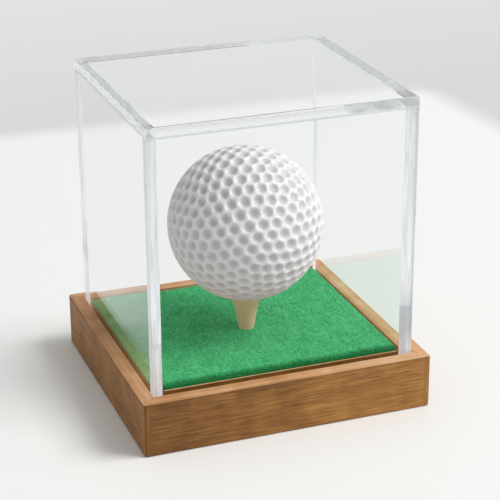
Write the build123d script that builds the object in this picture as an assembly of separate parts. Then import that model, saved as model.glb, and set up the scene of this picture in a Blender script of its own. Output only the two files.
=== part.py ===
from build123d import *
import os
from math import sqrt

# A golf ball display case, in millimetres. +X is to the right, +Y to the back and +Z up.
# The origin is the centre of the base, on the surface that the four pads stand on.

# Base frame: four mitred hardwood rails, each with a rim outside the groove for the cover
base_width = 81.0
base_depth = 75.0
rail_height = 14.9
rail_foot_width = 12.0
rim_width = 3.8
groove_depth = 5.0
corner_radius = 0.8
eased_edge = 0.3

# Bottom panel in a rebate under the rails, with the pads glued to it
panel_thickness = 3.0
rebate_width = 4.0
panel_clearance = 0.2
pad_diameter = 9.0
pad_thickness = 1.0
pad_proud = 0.2
pad_edge_margin = 2.5

# Core board: fills the frame, laps over the rails and stands up inside the cover
board_clearance = 0.2
plinth_height = 5.0
plinth_gap = 0.3
plinth_eased_edge = 0.3

# Felt mat glued on the core board
felt_thickness = 0.6
felt_inset = 0.3
felt_tee_clearance = 0.3

# Clear cover of five bonded panels, standing in the groove
cover_wall = 3.0
cover_height = 77.2
cover_clearance = 0.2
cover_edge = 0.25

# Tee in a blind hole in the core board
tee_y = -2.0
tee_shank_diameter = 4.4
tee_hole_depth = 8.5
tee_hole_clearance = 0.05
tee_end_chamfer = 0.5
tee_standing_height = 10.05
tee_cup_diameter = 9.0
tee_lip_width = 0.5
tee_lip_height = 0.6
tee_foot_lean = 0.16
tee_head_lean = 0.5

# Two-piece golf ball, resting in the cup of the tee
ball_diameter = 42.67
ball_skin = 1.7
ball_seat_gap = 0.15

# Countersunk wood screws through the bottom panel into the core board
screw_diameter = 2.6
screw_length = 9.5
screw_tip_length = 2.0
screw_head_diameter = 5.6
screw_hole_clearance = 0.3
screw_sink_clearance = 0.05
screw_slot_length = 3.0
screw_slot_width = 0.8
screw_slot_depth = 0.7
screw_inset_x = 6.3
screw_inset_y = 13.0

# Levels, worked out from the driving dimensions
rail_bottom = pad_proud
rail_top = rail_bottom + rail_height
groove_floor = rail_top - groove_depth
panel_bottom = pad_thickness
panel_top = panel_bottom + panel_thickness
plinth_top = groove_floor + plinth_height
felt_top = plinth_top + felt_thickness
cover_top_level = groove_floor + cover_height
tee_bottom = plinth_top - tee_hole_depth
tee_rim = felt_top + tee_standing_height

# Plan sizes, worked out from the driving dimensions
opening = (base_width - 2 * rail_foot_width, base_depth - 2 * rail_foot_width)
rim_inside = (base_width - 2 * rim_width, base_depth - 2 * rim_width)
cover_plan = tuple(side - 2 * cover_clearance for side in rim_inside)
cover_inside = tuple(side - 2 * cover_wall for side in cover_plan)
plinth_plan = tuple(side - 2 * plinth_gap for side in cover_inside)
felt_plan = tuple(side - 2 * felt_inset for side in plinth_plan)
board_plan = tuple(side - 2 * board_clearance for side in opening)
rebate_plan = tuple(side + 2 * rebate_width for side in opening)
panel_plan = tuple(side - 2 * panel_clearance for side in rebate_plan)

# The ball's centre stands over the cup's rim, where the seat gap leaves it
ball_radius = ball_diameter / 2
seat_radius = ball_radius + ball_seat_gap
cup_radius = tee_cup_diameter / 2 - tee_lip_width
ball_centre = tee_rim + sqrt(seat_radius**2 - cup_radius**2)

on_base = (Align.CENTER, Align.CENTER, Align.MIN)
four_corners = [(-1, -1), (1, -1), (1, 1), (-1, 1)]


def slab(plan, bottom, top):
    """Box on a centred plan, between two levels."""
    return Pos(0, 0, bottom) * Box(plan[0], plan[1], top - bottom, align=on_base)


def turned(points):
    """Solid turned about the Z axis from its half section in X and Z."""
    half_section = Plane.XZ * make_face(Polyline(*points, close=True))
    return revolve(half_section, Axis.Z)


def frame_outline():
    """The whole frame's outer form, with round corners and eased long edges."""
    plan = RectangleRounded(base_width, base_depth, corner_radius)
    block = Pos(0, 0, rail_bottom) * extrude(plan, rail_height)
    flat_faces = block.faces().filter_by(Axis.Z)
    return fillet(flat_faces.edges(), eased_edge)


def mitred_plan(length, across):
    """Plan of the rail at the front of a frame that measures length by across."""
    half = length / 2
    front = -across / 2
    foot = rail_foot_width
    points = [(-half, front), (half, front), (half - foot, front + foot), (-half + foot, front + foot)]
    return make_face(Polyline(*points, close=True))


def make_rails():
    """Four rails with mitred ends, a groove for the cover and a rebate for the bottom panel."""
    rim_space = slab(rim_inside, groove_floor, rail_top)
    rebate = slab(rebate_plan, rail_bottom, panel_top)
    moulded = frame_outline() - rim_space - rebate
    sides = {
        "rail_front": (0, base_width, base_depth),
        "rail_right": (90, base_depth, base_width),
        "rail_back": (180, base_width, base_depth),
        "rail_left": (270, base_depth, base_width),
    }
    rails = {}
    for name, (turn, length, across) in sides.items():
        wedge = Pos(0, 0, rail_bottom) * extrude(mitred_plan(length, across), rail_height)
        rails[name] = moulded & (Rot(0, 0, turn) * wedge)
    return rails


def screw_places():
    """Axes of the four screws, inside the core board's corners."""
    x = board_plan[0] / 2 - screw_inset_x
    y = board_plan[1] / 2 - screw_inset_y
    return [Pos(side_x * x, side_y * y, panel_bottom) for side_x, side_y in four_corners]


def pad_places():
    """Centres of the four pads, near the bottom panel's corners."""
    reach = pad_diameter / 2 + pad_edge_margin
    x = panel_plan[0] / 2 - reach
    y = panel_plan[1] / 2 - reach
    return [Pos(side_x * x, side_y * y, 0) for side_x, side_y in four_corners]


def screw_shape():
    """One countersunk screw, head down on its axis, with a cross slot in the head."""
    radius = screw_diameter / 2
    head_radius = screw_head_diameter / 2
    head_height = head_radius - radius
    shank_top = screw_length - screw_tip_length
    section = [(0, 0), (head_radius, 0), (radius, head_height), (radius, shank_top), (0, screw_length)]
    slot = Box(screw_slot_length, screw_slot_width, screw_slot_depth, align=on_base)
    return turned(section) - slot - Rot(0, 0, 90) * slot


def screw_hole():
    """Countersunk hole for one screw in the bottom panel."""
    radius = screw_diameter / 2 + screw_hole_clearance
    mouth = screw_head_diameter / 2 + screw_sink_clearance
    sink = mouth - radius
    section = [(0, 0), (mouth, 0), (radius, sink), (radius, panel_thickness), (0, panel_thickness)]
    return turned(section)


def make_bottom_panel():
    """Thin panel under the frame, drilled and countersunk for the screws."""
    holes = [place * screw_hole() for place in screw_places()]
    return slab(panel_plan, panel_bottom, panel_top) - holes


def make_core_board(screws):
    """Board with a narrower lower part, the tee's blind hole and the screws' own holes."""
    lower = slab(board_plan, panel_top, groove_floor)
    upper = slab(plinth_plan, groove_floor, plinth_top)
    upper = fillet(upper.faces().sort_by(Axis.Z)[-1].edges(), plinth_eased_edge)
    hole_radius = tee_shank_diameter / 2 + tee_hole_clearance
    tee_hole = Pos(0, tee_y, tee_bottom) * Cylinder(hole_radius, tee_hole_depth, align=on_base)
    return lower + upper - tee_hole - screws


def make_felt():
    """Felt mat with a hole for the tee."""
    hole_radius = tee_shank_diameter / 2 + felt_tee_clearance
    tee_hole = Pos(0, tee_y, plinth_top) * Cylinder(hole_radius, felt_thickness, align=on_base)
    return slab(felt_plan, plinth_top, felt_top) - tee_hole


def make_tee():
    """Short tee: straight shank that flares above the felt to a cup turned to the ball's curve."""
    shank = tee_shank_diameter / 2
    rim = tee_cup_diameter / 2
    lip_level = tee_rim - tee_lip_height
    foot = Polyline(
        (0, tee_bottom),
        (shank - tee_end_chamfer, tee_bottom),
        (shank, tee_bottom + tee_end_chamfer),
        (shank, felt_top),
    )
    leans = [(tee_foot_lean, 1), (tee_head_lean, 1)]
    flare = Spline((shank, felt_top), (rim, lip_level), tangents=leans)
    head = Polyline((rim, lip_level), (rim, tee_rim), (0, tee_rim), (0, tee_bottom))
    body = revolve(Plane.XZ * make_face([foot, flare, head]), Axis.Z)
    cup = Pos(0, 0, ball_centre) * Sphere(seat_radius)
    return Pos(0, tee_y, 0) * (body - cup)


def make_ball():
    """Two-piece ball: a skin moulded round its core."""
    core = Sphere(ball_radius - ball_skin)
    skin = Sphere(ball_radius) - core
    place = Pos(0, tee_y, ball_centre)
    return {"ball_core": place * core, "ball_cover": place * skin}


def make_cover():
    """Clear panels: full-width front and back, sides between them and a top over all four."""
    walls_top = cover_top_level - cover_wall
    outer = slab(cover_plan, groove_floor, cover_top_level)
    outer = chamfer(outer.edges().filter_by(Axis.Z) + outer.faces().sort_by(Axis.Z)[-1].edges(), cover_edge)
    wall_x = (cover_plan[0] - cover_wall) / 2
    wall_y = (cover_plan[1] - cover_wall) / 2
    long_wall = slab((cover_plan[0], cover_wall), groove_floor, walls_top)
    side_wall = slab((cover_wall, cover_inside[1]), groove_floor, walls_top)
    return {
        "cover_front": outer & (Pos(0, -wall_y, 0) * long_wall),
        "cover_back": outer & (Pos(0, wall_y, 0) * long_wall),
        "cover_left": Pos(-wall_x, 0, 0) * side_wall,
        "cover_right": Pos(wall_x, 0, 0) * side_wall,
        "cover_top": outer & slab(cover_plan, walls_top, cover_top_level),
    }


def make_pieces():
    """Every piece of the case at rest, by name."""
    screws = [place * screw_shape() for place in screw_places()]
    pad = Cylinder(pad_diameter / 2, pad_thickness, align=on_base)
    pieces = make_rails()
    pieces["bottom_panel"] = make_bottom_panel()
    pieces["core_board"] = make_core_board(screws)
    pieces["felt_mat"] = make_felt()
    pieces["golf_tee"] = make_tee()
    pieces.update(make_ball())
    pieces.update(make_cover())
    for number, screw in enumerate(screws, start=1):
        pieces[f"panel_screw_{number}"] = screw
    for number, place in enumerate(pad_places(), start=1):
        pieces[f"foot_pad_{number}"] = place * pad
    return pieces


os.makedirs("parts", exist_ok=True)
for name, piece in make_pieces().items():
    export_step(piece, f"parts/{name}.step")
    print(name, round(piece.volume, 1))
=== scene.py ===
import bpy
import bmesh
import random
from math import cos, pi, radians, sin, sqrt
from mathutils import Matrix, Vector, noise
from mathutils.kdtree import KDTree


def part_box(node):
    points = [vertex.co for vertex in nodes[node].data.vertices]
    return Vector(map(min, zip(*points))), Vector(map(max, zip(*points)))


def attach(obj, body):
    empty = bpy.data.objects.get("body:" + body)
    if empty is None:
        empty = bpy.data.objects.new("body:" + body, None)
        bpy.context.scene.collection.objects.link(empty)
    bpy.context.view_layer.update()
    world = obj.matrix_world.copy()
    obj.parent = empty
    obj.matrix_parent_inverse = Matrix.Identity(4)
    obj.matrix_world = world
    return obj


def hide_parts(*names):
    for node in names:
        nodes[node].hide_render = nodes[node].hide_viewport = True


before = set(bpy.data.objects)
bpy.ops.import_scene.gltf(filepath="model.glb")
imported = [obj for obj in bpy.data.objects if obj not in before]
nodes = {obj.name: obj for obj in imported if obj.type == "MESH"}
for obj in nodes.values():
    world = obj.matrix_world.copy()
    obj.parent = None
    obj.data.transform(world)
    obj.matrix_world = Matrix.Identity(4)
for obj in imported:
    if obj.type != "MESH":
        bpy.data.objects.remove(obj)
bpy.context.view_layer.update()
scene = bpy.context.scene

# ---------------------------------------------------------------------------------------
# Camera: a long lens, 20 degrees to the left of the case's front and 22 degrees above it,
# close enough for the case to fill most of the frame.
camera_azimuth = radians(-20.268)
camera_elevation = radians(22.407)
camera_roll = radians(-0.352)
camera_distance = 0.459427
camera_target = Vector((0.002453, 0.0, 0.037225))
lens_mm = 119.42
sensor_mm = 36.0

backward = Vector((
    sin(camera_azimuth) * cos(camera_elevation),
    -cos(camera_azimuth) * cos(camera_elevation),
    sin(camera_elevation),
))
level_right = Vector((0, 0, 1)).cross(backward).normalized()
level_up = backward.cross(level_right)
right = cos(camera_roll) * level_right + sin(camera_roll) * level_up
up = cos(camera_roll) * level_up - sin(camera_roll) * level_right

lens = bpy.data.cameras.new("camera")
lens.lens = lens_mm
lens.sensor_width = sensor_mm
lens.clip_start = 0.01
lens.clip_end = 20.0
camera = bpy.data.objects.new("camera", lens)
scene.collection.objects.link(camera)
camera.matrix_world = (
    Matrix.Translation(camera_target + camera_distance * backward)
    @ Matrix((right, up, backward)).transposed().to_4x4()
)
scene.camera = camera
scene.view_settings.view_transform = "Standard"

# ---------------------------------------------------------------------------------------
# Table and light: a white lacquered table whose far corner lies behind the case, with a
# pale grey floor beyond it, under one broad soft lamp on the right and an even white studio.
table_white = "#FAFAF8"
floor_greys = [(0.0, "#DBDBD9"), (1.0, "#EEEEED")]
floor_near = 0.16
floor_far = 0.45
floor_slope = Vector((-0.38, 1, 0))
table_corner = Vector((0.170, 0.230, 0.0))
table_left_edge = Vector((-0.600, 0.242, 0.0))
table_right_edge = Vector((0.215, -0.350, 0.0))
edge_softness = 0.009
floor_reach = 2.5
lamp_direction = Vector((0.645, -0.29, 0.707))
lamp_target = Vector((0, 0, 0.03))
lamp_distance = 3.0
lamp_size = 1.6
lamp_watts = 71.0
studio_whites = [(0.0, "#F0F0F0"), (0.35, "#F4F5F5"), (1.0, "#F6F7F7")]
# What the eye and the reflections see of the studio has strength 1. The light that it
# sheds is held to about half of that, so that the lamp still models the forms.
studio_fill = 0.48


def linear(hex_colour):
    """sRGB hex colour as linear RGBA."""
    channels = [int(hex_colour[i:i + 2], 16) / 255 for i in (1, 3, 5)]
    return [c / 12.92 if c <= 0.04045 else ((c + 0.055) / 1.055) ** 2.4 for c in channels] + [1.0]


def feed(tree, node, inputs):
    """Gives a node's sockets their values: numbers, hex colours or the outputs that feed them."""
    pairs = inputs.items() if isinstance(inputs, dict) else enumerate(inputs)
    for socket, value in pairs:
        if isinstance(value, bpy.types.NodeSocket):
            tree.links.new(value, node.inputs[socket])
        else:
            node.inputs[socket].default_value = linear(value) if isinstance(value, str) else value


def add(tree, kind, inputs, output=0, stops=(), **settings):
    """Adds one node and returns an output; stops are a ramp's (position, colour) pairs.

    MapRange takes a value, the range it comes from and the range it goes to. Mix takes its
    share at socket 0, and two colours at 6 and 7 (out at 2) or two vectors at 4 and 5 (out at 1).
    """
    node = tree.nodes.new("ShaderNode" + kind)
    for key, value in settings.items():
        setattr(node, key, value)
    feed(tree, node, inputs)
    if stops:
        elements = node.color_ramp.elements
        while len(elements) < len(stops):
            elements.new(0.5)
        for element, (position, colour) in zip(elements, stops):
            element.position = position
            element.color = linear(colour)
    return node.outputs[output]


def new_material(name):
    """Material with one Principled shader; returns it with its tree and shader."""
    made = bpy.data.materials.new(name)
    made.use_nodes = True
    return made, made.node_tree, made.node_tree.nodes["Principled BSDF"]


def place_mesh(name, mesh, *materials):
    """Puts a finished mesh in the scene as a new object with its materials."""
    for material in materials:
        mesh.materials.append(material)
    piece = bpy.data.objects.new(name, mesh)
    scene.collection.objects.link(piece)
    return piece


def smooth_piece(name, vertices, faces, material):
    """New object from points and faces, with one material and smooth faces."""
    mesh = bpy.data.meshes.new(name)
    mesh.from_pydata([tuple(v) for v in vertices], [], faces)
    mesh.shade_smooth()
    return place_mesh(name, mesh, material)


def inside_edge(tree, position, start, end):
    """1 on the table's side of the line from start to end, fading to 0 across its edge."""
    along = (end - start).normalized()
    inward = Vector((along.y, -along.x, 0))
    offset = add(tree, "VectorMath", [position, start], operation="SUBTRACT")
    depth = add(tree, "VectorMath", [offset, inward], "Value", operation="DOT_PRODUCT")
    return add(tree, "MapRange", [depth, -edge_softness, edge_softness, 0.0, 1.0],
               interpolation_type="SMOOTHSTEP")


# White lacquer, sprayed and rubbed down: a pale even surface with hardly any shine.
lacquer, tree, shader = new_material("white_lacquer_table")
position = add(tree, "NewGeometry", {}, "Position")
left_side = inside_edge(tree, position, table_left_edge, table_corner)
right_side = inside_edge(tree, position, table_corner, table_right_edge)
on_table = add(tree, "Math", [left_side, right_side], operation="MULTIPLY")
away = add(tree, "VectorMath", [position, floor_slope], "Value", operation="DOT_PRODUCT")
beyond = add(tree, "MapRange", [away, floor_near, floor_far])
beyond = add(tree, "ValToRGB", [beyond], stops=floor_greys)
tone = add(tree, "Mix", {0: on_table, 6: beyond, 7: table_white}, 2, data_type="RGBA")
feed(tree, shader, {"Base Color": tone, "Roughness": 0.6, "Specular IOR Level": 0.2})
corners = [(-floor_reach, -floor_reach, 0), (floor_reach, -floor_reach, 0),
           (floor_reach, floor_reach, 0), (-floor_reach, floor_reach, 0)]
smooth_piece("table_top", corners, [(0, 1, 2, 3)], lacquer)

light = bpy.data.lights.new("key_lamp", "AREA")
light.size = lamp_size
light.energy = lamp_watts
lamp = bpy.data.objects.new("key_lamp", light)
scene.collection.objects.link(lamp)
lamp.location = lamp_direction.normalized() * lamp_distance + lamp_target
lamp.rotation_euler = lamp_direction.to_track_quat("Z", "Y").to_euler()

world = bpy.data.worlds.new("studio")
scene.world = world
world.use_nodes = True
tree = world.node_tree
direction = add(tree, "TexCoord", {}, "Generated")
height = add(tree, "SeparateXYZ", [direction], "Z")
studio = add(tree, "ValToRGB", [height], stops=studio_whites)
rays = add(tree, "LightPath", {}).node.outputs
seen = add(tree, "Math", [rays["Is Camera Ray"], rays["Is Glossy Ray"]], operation="MAXIMUM")
seen = add(tree, "Math", [seen, rays["Is Transmission Ray"]], operation="MAXIMUM")
strength = add(tree, "MapRange", [seen, 0.0, 1.0, studio_fill, 1.0])
feed(tree, tree.nodes["Background"], {"Color": studio, "Strength": strength})

# ---------------------------------------------------------------------------------------
# Frame of the base: four planed rails of oiled walnut, mitred and glued at the corners,
# each with a groove for the cover cut along its inner side. A thin key piece with upright
# grain closes each end of the front and back rails.
mm = 0.001
rim_mm = 3.8
key_mm = 1.9
glue_line_mm = 0.14
half_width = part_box("rail_right")[1].x
half_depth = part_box("rail_back")[1].y
rim_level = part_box("rail_back")[1].z

walnut_tones = [(0.0, "#68431C"), (0.35, "#8A5C2B"), (0.7, "#A8763A"), (1.0, "#BF8D4C")]
# Painted light: the rim's top and the groove are drawn in these paler tones, as if lit, and pinker
# on the right rail.
painted_top_tones = [(0.38, "#C48A56"), (0.5, "#DAA574"), (0.62, "#EBC094")]
right_rail_light_tones = [(0.38, "#C78C5A"), (0.5, "#DDA578"), (0.62, "#EDBF97")]
key_brown = "#7E4B28"
pore_brown = "#4A2D16"
# This brown is the stain's, and also the painted shade's just under the rim's edge.
stain_and_shade_brown = "#37200A"
glue_line_brown = "#3A2312"

# Walnut's pores are about 0.15 mm wide, too fine for the render, so the fibres and the
# pores between them are drawn about twice as wide. Growth streaks and patches are full size.
fibre_mm = 0.34
streak_mm = 0.9
patch_mm = 7.0
pores_per_fibre = 2.2
flecks_per_streak = 0.5
grain_stretch = 28.0
seed_step = (0.31, 0.17, 0.23)

# How much each pattern tells in the figure, and how dark each mark is on it
streak_share = 0.25
fibre_share = 0.5
patch_share = 0.3
figure_range = (0.34, 0.72)
pore_range = (0.60, 0.72)
pore_darkness = 0.6
pore_relief = 1.5
# The painted light on the rim's top is mottled by flecks and patches
light_fleck_share = 0.65
light_patch_share = 0.35
brightest_at = 0.75
# Painted shade just under the rim's edge
rim_shade_darkness = 0.3
glue_darkness = 0.85
glue_under_light = 0.25
key_share = 0.28
streak_range = (0.3, 0.7)
gloss_range = (0.62, 0.5)

# Where the marks start and are full: across the rail, below the rim and by a face's tilt
key_start = (half_width - (key_mm + 0.1) * mm, half_width - (key_mm - 0.1) * mm)
key_top = (rim_level - 0.4 * mm, rim_level - 0.3 * mm)
# Painted light on top of the rim
rim_top = (rim_level - 0.4 * mm, rim_level - 0.2 * mm)
# Painted shade just under the rim's edge
rim_shade_band = (rim_level - 0.9 * mm, rim_level - 0.4 * mm)
groove_side = ((rim_mm - 0.2) * mm, (rim_mm - 0.1) * mm)
faces_up = (0.5, 0.85)


def walnut(name, along, seed, pale_end=0.0, keyed=False, groove_light=1.0, stain=0.0, light_amount=0.8,
           lit_ramp=painted_top_tones):
    """Planed and oiled walnut: streaks and dark pores along the grain, and a low sheen.

    The grain runs along X or Y, and seed moves the figure to another part of it. pale_end
    makes one end paler as painted light, and stain darkens the whole. The rim's top and the
    groove are drawn in paler tones as painted light, as much as two arguments say, and the
    wood just under the rim's edge is drawn darker as painted shade.
    """
    made, tree, shader = new_material(name)
    coordinates = add(tree, "TexCoord", {}, "Object")
    parts = add(tree, "SeparateXYZ", [coordinates]).node.outputs
    wide = add(tree, "Math", [parts["X"]], operation="ABSOLUTE")
    deep = add(tree, "Math", [parts["Y"]], operation="ABSOLUTE")

    # The pattern is stretched along the grain, and upright in the key pieces
    squeeze = [1.0, 1.0, 1.0]
    squeeze["XY".index(along)] = 1 / grain_stretch
    place = add(tree, "Mapping", {
        0: coordinates, "Location": [step * seed for step in seed_step], "Scale": squeeze,
    })
    if keyed:
        upright = add(tree, "Mapping", {0: coordinates, "Scale": (1.0, 1.0, 1 / grain_stretch)})
        on_key = add(tree, "MapRange", [wide, *key_start])
        below = add(tree, "MapRange", [parts["Z"], *key_top, 1.0, 0.0])
        on_key = add(tree, "Math", [on_key, below], operation="MULTIPLY")
        place = add(tree, "Mix", {0: on_key, 4: place, 5: upright}, 1, data_type="VECTOR")

    # Figure: streaks, fibres and patches, with painted light that makes the rail paler towards one
    # end
    streaks = add(tree, "TexNoise", {
        "Vector": place, "Scale": 1 / (streak_mm * mm), "Detail": 4.0, "Roughness": 0.6,
        "Distortion": 0.5,
    })
    fibres = add(tree, "TexNoise", {
        "Vector": place, "Scale": 1 / (fibre_mm * mm), "Detail": 3.0, "Roughness": 0.65,
    })
    patches = add(tree, "TexNoise", {
        "Vector": coordinates, "Scale": 1 / (patch_mm * mm), "Detail": 3.0,
    })
    figure = add(tree, "Math", [streaks, streak_share, 0.0], operation="MULTIPLY_ADD")
    figure = add(tree, "Math", [fibres, fibre_share, figure], operation="MULTIPLY_ADD")
    figure = add(tree, "Math", [patches, patch_share, figure], operation="MULTIPLY_ADD")
    lengthwise = add(tree, "MapRange", [
        parts[along], -half_width, half_width, -pale_end, pale_end,
    ])
    figure = add(tree, "Math", [figure, lengthwise], operation="ADD")
    tone = add(tree, "ValToRGB", [add(tree, "MapRange", [figure, *figure_range])],
               stops=walnut_tones)

    # Dark open pores
    pores = add(tree, "TexNoise", {
        "Vector": place, "Scale": pores_per_fibre / (fibre_mm * mm), "Detail": 1.0,
    })
    pore = add(tree, "MapRange", [pores, *pore_range, 0.0, pore_darkness])
    tone = add(tree, "Mix", {0: pore, 6: tone, 7: pore_brown}, 2, data_type="RGBA")

    # Painted light: the wood is drawn paler on top of the rim and all over the groove inside it
    facing = add(tree, "SeparateXYZ", [add(tree, "NewGeometry", {}, "Normal")], "Z")
    facing = add(tree, "MapRange", [facing, *faces_up])
    level = add(tree, "MapRange", [parts["Z"], *rim_top])
    painted_light = add(tree, "Math", [facing, level], operation="MULTIPLY")
    inset = add(tree, "Math", [
        add(tree, "Math", [half_width, wide], operation="SUBTRACT"),
        add(tree, "Math", [half_depth, deep], operation="SUBTRACT"),
    ], operation="MINIMUM")
    inside = add(tree, "MapRange", [inset, *groove_side, 0.0, groove_light])
    painted_light = add(tree, "Math", [painted_light, inside], operation="MAXIMUM")
    painted_light = add(tree, "Math", [painted_light, light_amount], operation="MULTIPLY")

    # Stain, with painted shade that darkens the wood just under the rim's edge, then the painted
    # light over it
    rim_edge_shade = add(tree, "MapRange", [parts["Z"], *rim_shade_band, stain, stain + rim_shade_darkness])
    tone = add(tree, "Mix", {0: rim_edge_shade, 6: tone, 7: stain_and_shade_brown}, 2, data_type="RGBA")
    # The painted light's paler tones, mottled by flecks and patches
    flecks = add(tree, "TexNoise", {
        "Vector": place, "Scale": flecks_per_streak / (streak_mm * mm), "Detail": 4.0,
        "Roughness": 0.7,
    })
    light_mottle = add(tree, "Math", [patches, light_patch_share, lengthwise], operation="MULTIPLY_ADD")
    light_mottle = add(tree, "Math", [flecks, light_fleck_share, light_mottle], operation="MULTIPLY_ADD")
    lit_colour = add(tree, "ValToRGB", [light_mottle], stops=lit_ramp)
    tone = add(tree, "Mix", {0: painted_light, 6: tone, 7: lit_colour}, 2, data_type="RGBA")

    # Glue line in each mitre, fainter under the painted light
    slant = add(tree, "Math", [wide, deep], operation="SUBTRACT")
    slant = add(tree, "Math", [slant, half_width - half_depth], operation="SUBTRACT")
    slant = add(tree, "Math", [slant], operation="ABSOLUTE")
    glue = add(tree, "MapRange", [slant, 0.0, glue_line_mm * mm, glue_darkness, 0.0])
    glue_fade = add(tree, "MapRange", [painted_light, 0.0, brightest_at, 1.0, glue_under_light])
    glue = add(tree, "Math", [glue, glue_fade], operation="MULTIPLY")
    if keyed:
        on_key = add(tree, "Math", [on_key, key_share], operation="MULTIPLY")
        tone = add(tree, "Mix", {0: on_key, 6: tone, 7: key_brown}, 2, data_type="RGBA")
    tone = add(tree, "Mix", {0: glue, 6: tone, 7: glue_line_brown}, 2, data_type="RGBA")

    # Pores and glue lines lie a little deeper than the planed face
    relief = add(tree, "Math", [pore, -pore_relief, fibres], operation="MULTIPLY_ADD")
    relief = add(tree, "Math", [relief, glue], operation="SUBTRACT")
    bump = add(tree, "Bump", {"Height": relief, "Strength": 0.5, "Distance": 0.04 * mm})
    dullness = add(tree, "MapRange", [streaks, *streak_range, *gloss_range])
    feed(tree, shader, {
        "Base Color": tone, "Roughness": dullness, "Specular IOR Level": 0.3, "IOR": 1.5,
        "Normal": bump,
    })
    return made


def finish_node(name, material):
    """Gives a CAD node its material."""
    node = nodes[name]
    node.data.materials.clear()
    node.data.materials.append(material)


# The right rail, nearest the lamp, gets the most painted light on its rim, the left rail the least.
finish_node("rail_front", walnut("oiled_walnut_front", "X", 1, pale_end=0.10, keyed=True))
finish_node("rail_back", walnut("oiled_walnut_back", "X", 2, keyed=True))
finish_node("rail_left", walnut("oiled_walnut_left", "Y", 3, light_amount=0.6))
finish_node("rail_right", walnut("oiled_walnut_right", "Y", 4, light_amount=1.0, lit_ramp=right_rail_light_tones))

# ---------------------------------------------------------------------------------------
# Underside: a dark hardboard panel in the rails' rebate, held by four zinc plated
# countersunk screws, with four thin rubber pads glued to it.
screw_count = 4
pad_count = 4
hardboard_browns = ("#4A3422", "#6B4E35")
zinc_greys = ("#A7A9AA", "#C4C5C2")
rubber_blacks = ("#1B1B1B", "#2A2A29")
# The board's wood fibres and the rubber's grit are under 0.1 mm, too fine for the render,
# so both are drawn coarser. The plating's stains are full size.
board_fibre_mm = 0.5
rubber_grit_mm = 0.25
plating_stain_mm = 0.8
mottle_span = (0.3, 0.7)


def mottled(name, cloud_mm, tones, finish, detail=3.0, relief=None):
    """Material that drifts between two tones; relief is its bump's strength and depth in mm."""
    made, tree, shader = new_material(name)
    coordinates = add(tree, "TexCoord", {}, "Object")
    clouds = add(tree, "TexNoise", {
        "Vector": coordinates, "Scale": 1 / (cloud_mm * mm), "Detail": detail,
    })
    tone = add(tree, "ValToRGB", [clouds], stops=list(zip(mottle_span, tones)))
    feed(tree, shader, {"Base Color": tone, **finish})
    if relief:
        strength, depth_mm = relief
        bump = add(tree, "Bump", {
            "Height": clouds, "Strength": strength, "Distance": depth_mm * mm,
        })
        feed(tree, shader, {"Normal": bump})
    return made


# Hardboard, pressed from wood fibre against a smooth plate: dark, mottled, a dull sheen.
hardboard = mottled("smooth_hardboard", board_fibre_mm, hardboard_browns, {"Roughness": 0.6},
                    detail=6.0, relief=(0.3, 0.03))
finish_node("bottom_panel", hardboard)

# Zinc plating on steel: a bright, slightly blotchy metal with soft reflections.
zinc = mottled("zinc_plated_steel", plating_stain_mm, zinc_greys,
               {"Metallic": 1.0, "Roughness": 0.32}, detail=4.0)
for number in range(1, screw_count + 1):
    finish_node(f"panel_screw_{number}", zinc)

# Rubber punched from sheet: black, gritty and without shine.
pad_rubber = mottled("black_pad_rubber", rubber_grit_mm, rubber_blacks, {"Roughness": 0.85},
                     relief=(0.5, 0.04))
for number in range(1, pad_count + 1):
    finish_node(f"foot_pad_{number}", pad_rubber)

# ---------------------------------------------------------------------------------------
# Core board: the raised walnut board inside the groove, screwed to the bottom panel. Its
# sides are stained, and drawn dark brown just under the top edge as painted shade; painted
# light on its top makes a thin tan line under the felt.
finish_node("core_board", walnut("stained_plinth", "X", 7, groove_light=0.0, stain=0.08, light_amount=0.9))

# ---------------------------------------------------------------------------------------
# Felt mat: wool felt glued on the board, brushed so that short matted fibres lie mostly
# front to back, stand a little proud of its top and hang over its soft rounded edges.
felt_greens = [(0.18, "#176B35"), (0.37, "#34A260"), (0.53, "#55D186"), (0.69, "#7CDEA0")]
felt_low, felt_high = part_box("felt_mat")
felt_spread = Vector((0.35 * mm, 0, 0))
felt_low, felt_high = felt_low - felt_spread, felt_high + felt_spread
felt_step = 0.34 * mm
felt_edge = 1.5 * mm
felt_edge_drop = 0.7
felt_lumps = 0.09 * mm
lump_mm = 0.55
felt_cloud_mm = 5.0
brushed_stretch = (1.0, 0.3, 1.0)

# Painted shade: the felt is drawn darker over a band along its front edge, which is rolled and
# turns away from the light.
felt_shade_reach = 3.8 * mm
felt_edge_shade = 0.40
felt_base_shade = 0.085
tuft_share = 0.52
cloud_share = 0.16
lock_share = 0.22

fibre_count = 33000
fibre_seed = 11
fibre_length = 1.2 * mm
# A wool fibre is 0.03 mm thick, too fine for the render, so each stands for a small lock.
fibre_width = 0.12 * mm
fibre_taper = (1.0, 1.0, 0.8, 0.3)
fibre_lengths = (0.5, 1.3)
fibre_rise_mm = (0.02, 0.32)
fibre_scatter = 0.7
fibre_bend = 1.4
fibre_roll = 0.7
fibre_arch = 0.7
fibre_overhang = 0.1 * mm

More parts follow.
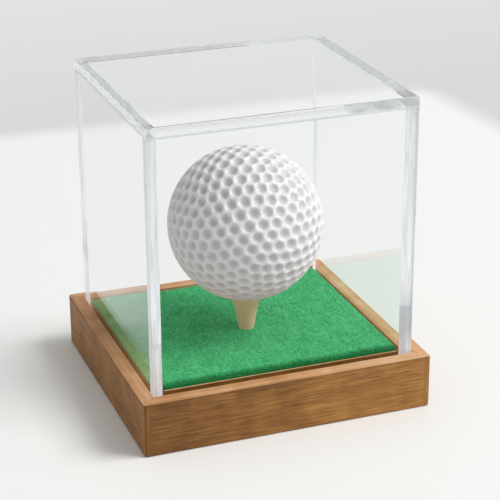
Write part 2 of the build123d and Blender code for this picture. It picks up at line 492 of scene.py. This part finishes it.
# Matted wool: a dry, tufted green that is darker between its locks, with a faint bloom.
felt, tree, shader = new_material("matted_wool_felt")
coordinates = add(tree, "TexCoord", {}, "Object")
parts = add(tree, "SeparateXYZ", [coordinates]).node.outputs
brushed = add(tree, "Mapping", {0: coordinates, "Scale": brushed_stretch})
tufts = add(tree, "TexNoise", {
    "Vector": brushed, "Scale": 1 / (lump_mm * mm), "Detail": 5.0, "Roughness": 0.7,
    "Distortion": 0.6,
})
patches = add(tree, "TexNoise", {
    "Vector": coordinates, "Scale": 1 / (felt_cloud_mm * mm), "Detail": 2.0,
})
lock = add(tree, "NewGeometry", {}, "Random Per Island")
shade = add(tree, "Math", [tufts, tuft_share, felt_base_shade], operation="MULTIPLY_ADD")
shade = add(tree, "Math", [patches, cloud_share, shade], operation="MULTIPLY_ADD")
shade = add(tree, "Math", [lock, lock_share, shade], operation="MULTIPLY_ADD")
# Painted shade: darker towards the front edge
roll_shade = add(tree, "MapRange", [
    parts["Y"], felt_low.y, felt_low.y + felt_shade_reach, -felt_edge_shade, 0.0,
])
shade = add(tree, "Math", [shade, roll_shade], operation="ADD")
green = add(tree, "ValToRGB", [shade], stops=felt_greens)
bump = add(tree, "Bump", {"Height": tufts, "Strength": 0.8, "Distance": 0.12 * mm})
feed(tree, shader, {
    "Base Color": green, "Roughness": 0.95, "Specular IOR Level": 0.1,
    "Sheen Weight": 0.03, "Sheen Roughness": 0.5, "Normal": bump,
})


def felt_height(x, y):
    """Top of the felt: rounded down at the mat's free front edge, with low lumps."""
    drop = min(1.0, max(0.0, 1 - (y - felt_low.y) / felt_edge))
    thickness = felt_high.z - felt_low.z
    lump = felt_lumps * noise.noise(Vector((x, y, 0)) / (lump_mm * mm))
    rounding = felt_edge_drop * thickness * (1 - sqrt(1 - drop * drop))
    return felt_high.z - felt_lumps + lump - rounding


def felt_sheet():
    """The mat's top as a fine grid with its rim turned down to the board."""
    across = round((felt_high.x - felt_low.x) / felt_step)
    back = round((felt_high.y - felt_low.y) / felt_step)
    points = []
    for j in range(back + 1):
        y = felt_low.y + (felt_high.y - felt_low.y) * j / back
        for i in range(across + 1):
            x = felt_low.x + (felt_high.x - felt_low.x) * i / across
            points.append((x, y, felt_height(x, y)))
    row = across + 1
    faces = [(j * row + i, j * row + i + 1, (j + 1) * row + i + 1, (j + 1) * row + i)
             for j in range(back) for i in range(across)]
    rim = list(range(row))
    rim += [j * row + across for j in range(1, back + 1)]
    rim += [back * row + i for i in range(across - 1, -1, -1)]
    rim += [j * row for j in range(back - 1, 0, -1)]
    foot = len(points)
    points += [(points[i][0], points[i][1], felt_low.z) for i in rim]
    count = len(rim)
    faces += [(rim[k], foot + k, foot + (k + 1) % count, rim[(k + 1) % count])
              for k in range(count)]
    faces.append([foot + k for k in range(count)][::-1])
    return smooth_piece("felt_sheet", points, faces, felt)


def felt_fibres():
    """Locks of fibre: short curved ribbons that rise a little from the felt."""
    draw = random.Random(fibre_seed)
    last = len(fibre_taper) - 1
    left, right = felt_low.x - fibre_overhang, felt_high.x + fibre_overhang
    front, back = felt_low.y - fibre_overhang, felt_high.y + fibre_overhang
    points, faces = [], []
    for _ in range(fibre_count):
        x = draw.uniform(felt_low.x, felt_high.x)
        y = draw.uniform(felt_low.y, felt_high.y)
        heading = draw.gauss(pi / 2, fibre_scatter) + pi * draw.randint(0, 1)
        bend = draw.uniform(-fibre_bend, fibre_bend)
        length = fibre_length * draw.uniform(*fibre_lengths)
        rise = draw.uniform(*fibre_rise_mm) * mm
        roll = draw.uniform(-fibre_roll, fibre_roll)
        start = len(points)
        for k, taper in enumerate(fibre_taper):
            turn = heading + bend * k / last
            half = fibre_width / 2 * taper
            side = Vector((-sin(turn) * cos(roll), cos(turn) * cos(roll), sin(roll))) * half
            lift = rise * (k / last) ** fibre_arch
            centre = Vector((x, y, felt_height(x, y) + lift))
            points += [centre - side, centre + side]
            x = min(max(x + cos(turn) * length / last, left), right)
            y = min(max(y + sin(turn) * length / last, front), back)
        faces += [(start + 2 * k, start + 2 * k + 1, start + 2 * k + 3, start + 2 * k + 2)
                  for k in range(last)]
    return smooth_piece("felt_fibres", points, faces, felt)


mat = felt_sheet()
fuzz = felt_fibres()
for piece in (mat, fuzz):
    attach(piece, "base")
    # Bounced light doesn't see the felt, which keeps a green cast off the ball and the tee.
    piece.visible_diffuse = False
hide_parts("felt_mat")

# ---------------------------------------------------------------------------------------
# Tee: a short tee moulded in one shot of ivory plastic, pushed down through the felt into
# a hole in the core board.
ivory_tones = ("#E4E2AE", "#ECE8BA")
ivory_cloud_mm = 2.5

# Moulded plastic: an even warm ivory with a satin skin, into which a little light sinks.
ivory = mottled("moulded_ivory_plastic", ivory_cloud_mm, ivory_tones, {
    "Roughness": 0.38, "IOR": 1.49, "Subsurface Weight": 0.15,
    "Subsurface Radius": (1.0, 0.8, 0.5), "Subsurface Scale": 0.8 * mm,
})
finish_node("golf_tee", ivory)

# ---------------------------------------------------------------------------------------
# Ball: a rubber core in a white moulded skin under a thin clear coat. The skin's dimples
# are hex-packed over an icosahedron, smaller at the icosahedron's points, and painted shade
# darkens their bottoms.
core_tones = ("#7C8A9C", "#8FA0B0")
core_cloud_mm = 1.5
skin_whites = [(0.3, "#E6E6E7"), (0.7, "#EDEDEE")]
scuff_mm = 3.0
# Painted shade: the skin is drawn greyer towards the bottom of each dimple.
dimple_shade_grey = "#7C7C7A"
dimple_shade_share = 0.42
ball_low, ball_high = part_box("ball_cover")
ball_centre = (ball_low + ball_high) / 2
ball_radius = (ball_high.z - ball_low.z) / 2
# Seven steps along each edge of the icosahedron, whose neighbouring points are 1.1072
# radians apart, give 492 dimples. Each reaches almost half way to the next one's middle.
dimple_frequency = 7
icosahedron_edge = 1.1072
dimple_share = 0.468
# Deeper than a real ball's 0.25 mm, so that each dimple shades as clearly as a real one.
dimple_depth = 0.9 * mm
unshaded_rim = 0.05 * mm
# The cup's section: how flat its floor is, how it turns to its edge, and the rings in it
dimple_hollow = 2.2
dimple_edge = 0.9
dimple_sides = 20
dimple_rings = (0.2, 0.38, 0.55, 0.71, 0.85, 0.95, 1.0, 1.05)
pattern_turn = radians(-19)
pattern_lift = radians(24)
pattern_roll = radians(188)

# Moulded rubber, blue-grey and dull. It shows only where the skin is taken off.
core_rubber = mottled("moulded_core_rubber", core_cloud_mm, core_tones, {"Roughness": 0.7})
finish_node("ball_core", core_rubber)

# Painted and clear coated skin: a soft white with faint scuffs and a weak, broad shine.
ball_white, tree, shader = new_material("coated_ball_skin")
coordinates = add(tree, "TexCoord", {}, "Object")
scuffs = add(tree, "TexNoise", {
    "Vector": coordinates, "Scale": 1 / (scuff_mm * mm), "Detail": 5.0,
})
tone = add(tree, "ValToRGB", [scuffs], stops=skin_whites)
# Painted shade: greyer the deeper the skin lies in a dimple
radius = add(tree, "VectorMath", [coordinates, ball_centre], "Value", operation="DISTANCE")
cup_shade = add(tree, "MapRange", [
    radius, ball_radius - dimple_depth, ball_radius - unshaded_rim, dimple_shade_share, 0.0,
])
tone = add(tree, "Mix", {0: cup_shade, 6: tone, 7: dimple_shade_grey}, 2, data_type="RGBA")
feed(tree, shader, {
    "Base Color": tone, "Roughness": 0.55, "IOR": 1.5, "Coat Weight": 0.06,
    "Coat Roughness": 0.3, "Subsurface Weight": 0.04, "Subsurface Radius": (1.0, 1.0, 1.0),
    "Subsurface Scale": 0.4 * mm,
})


def icosahedron():
    """Corners and triangles of a unit icosahedron."""
    shell = bmesh.new()
    bmesh.ops.create_icosphere(shell, subdivisions=1, radius=1.0)
    corners = [v.co.normalized() for v in shell.verts]
    triangles = [tuple(v.index for v in f.verts) for f in shell.faces]
    shell.free()
    return corners, triangles


def dimple_centres():
    """Directions of the dimples: an even triangular grid on each face, met at its edges."""
    corners, triangles = icosahedron()
    first = [corners[c] for c in triangles[0]]
    middle = sum(first, Vector()).normalized()
    along = (first[1] - first[0]).normalized()
    seat = Matrix((along, middle.cross(along), middle)).transposed()

    # The first triangle's middle is turned to the aim, and its side to the row
    aim = Vector((
        sin(pattern_turn) * cos(pattern_lift),
        -cos(pattern_turn) * cos(pattern_lift),
        sin(pattern_lift),
    ))
    level = Vector((cos(pattern_turn), sin(pattern_turn), 0))
    row = Matrix.Rotation(pattern_roll, 3, aim) @ level
    faced = Matrix((row, aim.cross(row), aim)).transposed()

    found = {}
    n = dimple_frequency
    for i, j, k in triangles:
        for a in range(n + 1):
            for b in range(n + 1 - a):
                weights = [sin(w / n * icosahedron_edge) for w in (a, b, n - a - b)]
                shares = zip(weights, (i, j, k))
                point = sum((w * corners[c] for w, c in shares), Vector())
                point.normalize()
                found[tuple(round(value, 4) for value in point)] = point
    return [faced @ seat.transposed() @ point for point in found.values()]


def dimpled_ball():
    """Sphere with a sharp-edged shallow cup at each dimple, hulled over rings of points."""
    centres = dimple_centres()
    near = KDTree(len(centres))
    for index, centre in enumerate(centres):
        near.insert(centre, index)
    near.balance()
    shell = bmesh.new()
    depths = {}
    rings = [(0.0, 1)] + [(share, dimple_sides) for share in dimple_rings]
    for centre in centres:
        nearest = sorted(distance for _, _, distance in near.find_n(centre, 2))[1]
        reach = dimple_share * nearest
        side = centre.orthogonal().normalized()
        other = centre.cross(side)
        for share, count in rings:
            press = max(0.0, 1 - share**dimple_hollow) ** dimple_edge
            for k in range(count):
                turn = 2 * pi * k / count
                swing = side * cos(turn) + other * sin(turn)
                point = centre * cos(reach * share) + swing * sin(reach * share)
                depths[shell.verts.new(point.normalized())] = dimple_depth * press
    shell.verts.ensure_lookup_table()
    bmesh.ops.convex_hull(shell, input=shell.verts)
    for vertex in shell.verts:
        vertex.co = ball_centre + vertex.co * (ball_radius - depths[vertex])
    mesh = bpy.data.meshes.new("dimpled_ball")
    shell.to_mesh(mesh)
    shell.free()
    mesh.shade_smooth()
    return place_mesh("dimpled_ball", mesh, ball_white)


ball = dimpled_ball()
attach(ball, "ball")
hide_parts("ball_cover")

# ---------------------------------------------------------------------------------------
# Cover: five panels of clear cast acrylic, bonded with solvent into one body that stands in
# the groove and lifts off. The top lies over the walls, and the front and back run the full
# width. The outer edges are scraped and sanded, and the foot is left as sawn.
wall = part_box("cover_left")[1].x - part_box("cover_left")[0].x
cover_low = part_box("cover_front")[0]
cover_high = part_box("cover_top")[1]
inner_low = cover_low + Vector((wall, wall, 0))
inner_high = cover_high - Vector((wall, wall, wall))
edge_bevel = 0.25 * mm
# Light that enters an edge runs a long way inside the panels before it comes out.
bounces_in_acrylic = 24
scene.cycles.max_bounces = bounces_in_acrylic
scene.cycles.glossy_bounces = bounces_in_acrylic
scene.cycles.transmission_bounces = bounces_in_acrylic

clear_tone = "#FCFDFD"
# The dark tint takes the grey haze off the flat panels and leaves the glancing reflections.
facing_reflection = "#101010"
saw_mark_mm = 1.5
sawn_whites = ("#E6EAEA", "#F4F6F6")


def clear_acrylic(name, roughness):
    """Acrylic that light passes through, as smooth or dull as roughness says."""
    made, tree, shader = new_material(name)
    feed(tree, shader, {
        "Base Color": clear_tone, "Roughness": roughness, "IOR": 1.49,
        "Transmission Weight": 1.0, "Specular Tint": facing_reflection,
    })
    return made


# Cast sheet: clear as glass, with sharp reflections at low angles and bright corners.
acrylic = clear_acrylic("clear_cast_acrylic", 0.0)
# The walls' foot is left as sawn: a dull white band of fine scores.
sawn_edge = mottled("saw_cut_acrylic_edge", saw_mark_mm, sawn_whites, {"Roughness": 0.7})
# The top panel's outer edges are sanded: they blur what shows through them.
satin_edge = clear_acrylic("sanded_acrylic_edge", 0.2)


def bonded_cover():
    """One body with an open foot: a bevelled box outside, a sharp cavity inside."""
    body = bmesh.new()

    def ring(low, high, z):
        plan = ((low.x, low.y), (high.x, low.y), (high.x, high.y), (low.x, high.y))
        return [body.verts.new((x, y, z)) for x, y in plan]

    foot_out = ring(cover_low, cover_high, cover_low.z)
    joint_out = ring(cover_low, cover_high, inner_high.z)
    top_out = ring(cover_low, cover_high, cover_high.z)
    foot_in = ring(inner_low, inner_high, cover_low.z)
    top_in = ring(inner_low, inner_high, inner_high.z)
    for k in range(4):
        n = (k + 1) % 4
        body.faces.new((foot_out[k], foot_out[n], joint_out[n], joint_out[k]))
        body.faces.new((joint_out[k], joint_out[n], top_out[n], top_out[k]))
        body.faces.new((foot_in[n], foot_in[k], top_in[k], top_in[n]))
        body.faces.new((foot_out[n], foot_out[k], foot_in[k], foot_in[n]))
    body.faces.new(top_out)
    body.faces.new(top_in[::-1])

    # All outer edges are bevelled, but not the foot's or the joint line under the top
    outside = set(top_out) | set(joint_out) | set(foot_out)
    sharp = [edge for edge in body.edges
             if set(edge.verts) <= outside and not set(edge.verts) <= set(foot_out)
             and not set(edge.verts) <= set(joint_out)]
    bmesh.ops.bevel(body, geom=sharp, offset=edge_bevel, segments=1, profile=0.5, affect="EDGES")
    bmesh.ops.recalc_face_normals(body, faces=body.faces)
    mesh = bpy.data.meshes.new("bonded_cover")
    body.to_mesh(mesh)
    body.free()
    piece = place_mesh("bonded_cover", mesh, acrylic, sawn_edge, satin_edge)
    for face in mesh.polygons:
        looks_down = face.normal.z < -0.9
        stands_up = abs(face.normal.z) < 0.1
        if looks_down and face.center.z < cover_low.z + wall:
            face.material_index = 1
        elif stands_up and face.center.z > inner_high.z:
            face.material_index = 2
    return piece


# The films' tones: on the upright joints, under the top over the side walls, and under the
# top over the front and back. The front right joint has a thin, bluish stretch.
upright_whites = [(0.35, "#D1D6D9"), (0.65, "#EDF0F1")]
side_greys = [(0.3, "#ACB3B3"), (0.7, "#BBC1C1")]
long_greys = [(0.3, "#CCD1D1"), (0.7, "#DEE2E2")]
thin_blue = "#CDD7DE"
edge_light = "#E9ECEF"
film_inset = 0.04 * mm
top_film_inset = 0.35 * mm
film_cloud_mm = 1.1
film_stretch = (1.0, 1.0, 0.1)
film_clouds = (0.35, 0.65)
film_milk = (0.7, 0.85)
top_film_start = (cover_high.z - 1.4 * wall, cover_high.z - 1.1 * wall)
long_wall_start = (cover_high.y - 1.1 * wall, cover_high.y - wall)
thin_start = (cover_low.z + 6 * mm, cover_low.z + 11 * mm)
thin_end = (cover_low.z + 18 * mm, cover_low.z + 25 * mm)
foot_end = (cover_low.z + 4 * mm, cover_low.z + 9 * mm)
back_foot_end = (cover_low.z + 16 * mm, cover_low.z + 20 * mm)
height_glow = (0.22, 0.04)
foot_glow = 0.2
back_glow = (0.4, 0.12)
thin_glow_loss = 0.5

# Dried solvent cement: a milky film, cloudy along the joint. It glows a little as painted
# light, most at the foot, standing in for the light that the panels carry inside them to
# their edges.
cement, tree, shader = new_material("solvent_cement_joint")
coordinates = add(tree, "TexCoord", {}, "Object")
parts = add(tree, "SeparateXYZ", [coordinates]).node.outputs
height = parts["Z"]
drawn = add(tree, "Mapping", {0: coordinates, "Scale": film_stretch})
clouds = add(tree, "TexNoise", {
    "Vector": drawn, "Scale": 1 / (film_cloud_mm * mm), "Detail": 3.0,
})
upright_tone = add(tree, "ValToRGB", [clouds], stops=upright_whites)
side_tone = add(tree, "ValToRGB", [clouds], stops=side_greys)
long_tone = add(tree, "ValToRGB", [clouds], stops=long_greys)
deep = add(tree, "Math", [parts["Y"]], operation="ABSOLUTE")
over_long_walls = add(tree, "MapRange", [deep, *long_wall_start])
top_tone = add(tree, "Mix", {0: over_long_walls, 6: side_tone, 7: long_tone}, 2,
               data_type="RGBA")
upright = add(tree, "MapRange", [height, *top_film_start, 1.0, 0.0])
tone = add(tree, "Mix", {0: upright, 6: top_tone, 7: upright_tone}, 2, data_type="RGBA")
milky = add(tree, "MapRange", [clouds, *film_clouds, *film_milk])

right_side = add(tree, "MapRange", [parts["X"], 0.0, wall])
front_side = add(tree, "MapRange", [parts["Y"], -wall, 0.0, 1.0, 0.0])
back_side = add(tree, "MapRange", [parts["Y"], 0.0, wall])
thin_from = add(tree, "MapRange", [height, *thin_start])
thin_to = add(tree, "MapRange", [height, *thin_end, 1.0, 0.0])
thin = add(tree, "Math", [thin_from, thin_to], operation="MULTIPLY")
thin = add(tree, "Math", [thin, right_side], operation="MULTIPLY")
thin = add(tree, "Math", [thin, front_side], operation="MULTIPLY")
tone = add(tree, "Mix", {0: thin, 6: tone, 7: thin_blue}, 2, data_type="RGBA")

# Painted glow: emission that stands in for light carried along the panels, most at the foot
glow = add(tree, "MapRange", [height, cover_low.z, cover_high.z, *height_glow])
at_foot = add(tree, "MapRange", [height, *foot_end, foot_glow, 0.0])
at_back = add(tree, "MapRange", [height, *back_foot_end, *back_glow])
at_back = add(tree, "Math", [at_back, back_side], operation="MULTIPLY")
glow = add(tree, "Math", [glow, at_foot], operation="ADD")
glow = add(tree, "Math", [glow, at_back], operation="ADD")
glow = add(tree, "Math", [glow, upright], operation="MULTIPLY")
thick = add(tree, "Math", [thin, -thin_glow_loss, 1.0], operation="MULTIPLY_ADD")
glow = add(tree, "Math", [glow, thick], operation="MULTIPLY")
feed(tree, shader, {
    "Base Color": tone, "Roughness": 0.5, "Alpha": milky,
    "Emission Color": edge_light, "Emission Strength": glow,
})


def cement_joints():
    """Thin films where the panels meet, and on the scraped ends of the front and back."""
    gap = film_inset
    short = top_film_inset
    foot = cover_low.z + gap
    top = inner_high.z
    points, faces = [], []

    def film(a, b, c, d):
        start = len(points)
        points.extend((a, b, c, d))
        faces.append((start, start + 1, start + 2, start + 3))

    # Between the side walls' ends and the front and back
    for y in (inner_low.y, inner_high.y):
        for x0, x1 in ((cover_low.x + gap, inner_low.x - gap),
                       (inner_high.x + gap, cover_high.x - gap)):
            film((x0, y, foot), (x1, y, foot), (x1, y, top), (x0, y, top))
    # On the ends of the front and back
    for x in (cover_low.x + gap, cover_high.x - gap):
        for y0, y1 in ((cover_low.y + edge_bevel, inner_low.y - gap),
                       (inner_high.y + gap, cover_high.y - edge_bevel)):
            film((x, y0, foot), (x, y1, foot), (x, y1, top), (x, y0, top))
    # Under the top, over the front and back and then over the side walls
    for y0, y1 in ((cover_low.y + gap, inner_low.y - short),
                   (inner_high.y + short, cover_high.y - gap)):
        film((cover_low.x + gap, y0, top), (cover_high.x - gap, y0, top),
             (cover_high.x - gap, y1, top), (cover_low.x + gap, y1, top))
    for x0, x1 in ((cover_low.x + gap, inner_low.x - short),
                   (inner_high.x + short, cover_high.x - gap)):
        film((x0, inner_low.y, top), (x1, inner_low.y, top),
             (x1, inner_high.y, top), (x0, inner_high.y, top))
    return smooth_piece("cement_joints", points, faces, cement)


cover = bonded_cover()
joints = cement_joints()
for piece in (cover, joints):
    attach(piece, "cover")
    # Lamp light and bounced light pass the clear panels, as they do through real acrylic.
    piece.visible_shadow = False
    piece.visible_diffuse = False
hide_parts("cover_front", "cover_back", "cover_left", "cover_right", "cover_top")
